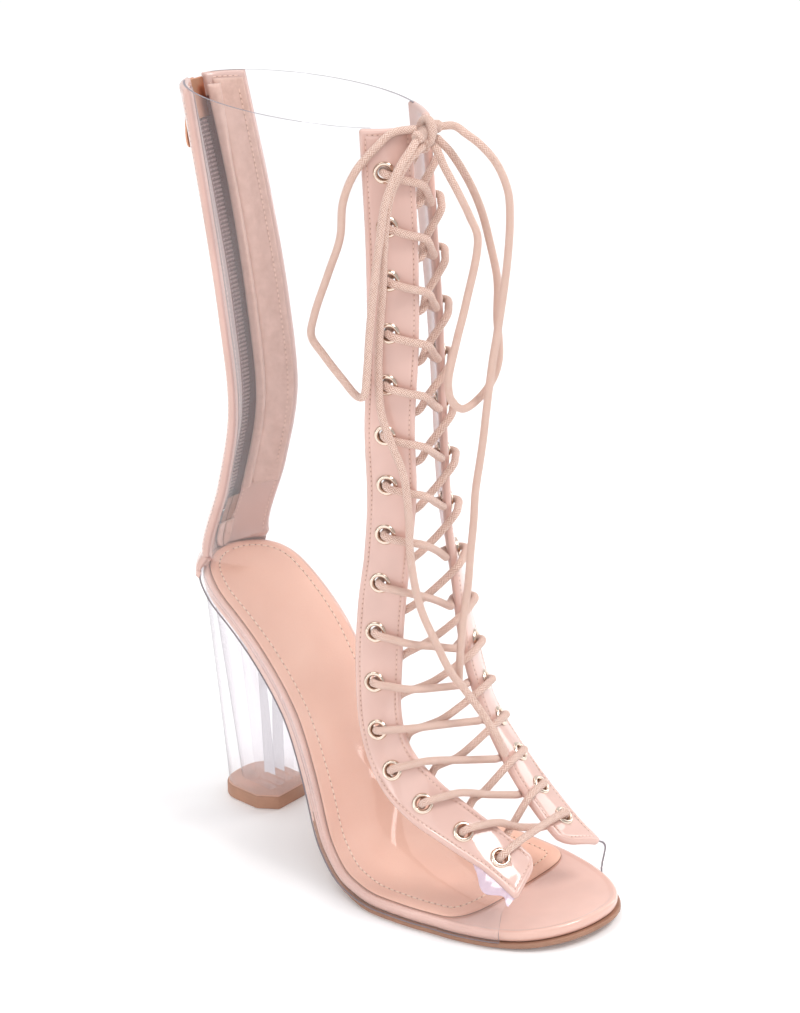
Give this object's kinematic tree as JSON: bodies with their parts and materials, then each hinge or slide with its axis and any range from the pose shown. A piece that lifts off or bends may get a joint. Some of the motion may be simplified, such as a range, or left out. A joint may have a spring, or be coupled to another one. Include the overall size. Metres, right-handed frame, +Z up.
{
  "type": "heeled boot",
  "caption": "Tall peep-toe lace-up boot with a clear shaft, nude patent eyestays, back zip and a clear block heel, for the right foot.",
  "frame": {"origin": "middle of the boot's footprint, on the ground", "axes": "+Z up along the shaft, toe towards -Y, heel towards +Y, medial side +X and lateral side -X"},
  "size_m": [0.0925, 0.23, 0.3385],
  "materials": {
    "tan_sole": "satin",
    "patent": "glossy patent",
    "sock": "matte",
    "clear_heel": "clear acrylic, glossy",
    "tan_lift": "satin",
    "clear_upper": "clear flexible vinyl, glossy",
    "zip_tape": "woven tape with coil teeth",
    "rose_gold": "polished rose gold",
    "gold": "polished gold",
    "eyelet_gold": "polished champagne gold",
    "lace": "braided round lace"
  },
  "bodies": {
    "boot": {"outsole": "tan_sole", "footbed": "patent", "insole_sock": "sock", "heel_block": "clear_heel", "top_lift": "tan_lift", "upper": "clear_upper", "eyestay_lateral": "patent", "eyestay_medial": "patent", "back_strip_lateral": "patent", "back_strip_medial": "patent", "zip": "zip_tape", "zip_slider": "rose_gold", "eyelet_lateral_01": "eyelet_gold", "eyelet_lateral_02": "eyelet_gold", "eyelet_lateral_03": "eyelet_gold", "eyelet_lateral_04": "eyelet_gold", "eyelet_lateral_05": "eyelet_gold", "eyelet_lateral_06": "eyelet_gold", "eyelet_lateral_07": "eyelet_gold", "eyelet_lateral_08": "eyelet_gold", "eyelet_lateral_09": "eyelet_gold", "eyelet_lateral_10": "eyelet_gold", "eyelet_lateral_11": "eyelet_gold", "eyelet_lateral_12": "eyelet_gold", "eyelet_lateral_13": "eyelet_gold", "eyelet_lateral_14": "eyelet_gold", "eyelet_lateral_15": "eyelet_gold", "eyelet_lateral_16": "eyelet_gold", "eyelet_medial_01": "eyelet_gold", "eyelet_medial_02": "eyelet_gold", "eyelet_medial_03": "eyelet_gold", "eyelet_medial_04": "eyelet_gold", "eyelet_medial_05": "eyelet_gold", "eyelet_medial_06": "eyelet_gold", "eyelet_medial_07": "eyelet_gold", "eyelet_medial_08": "eyelet_gold", "eyelet_medial_09": "eyelet_gold", "eyelet_medial_10": "eyelet_gold", "eyelet_medial_11": "eyelet_gold", "eyelet_medial_12": "eyelet_gold", "eyelet_medial_13": "eyelet_gold", "eyelet_medial_14": "eyelet_gold", "eyelet_medial_15": "eyelet_gold", "eyelet_medial_16": "eyelet_gold", "lacing": "lace", "lace_knot": "lace", "lace_loop_lateral": "lace", "lace_loop_medial": "lace", "lace_end_lateral": "lace", "lace_end_medial": "lace"},
    "pull": {"zip_pull": "gold"}
  },
  "joints": [
    {"name": "pull_swing", "type": "hinge", "parent": "boot", "child": "pull", "pos_m": [0.00512, 0.11244, 0.32342], "axis": [1, 0, 0], "range_deg": [-8, 160]}
  ]
}
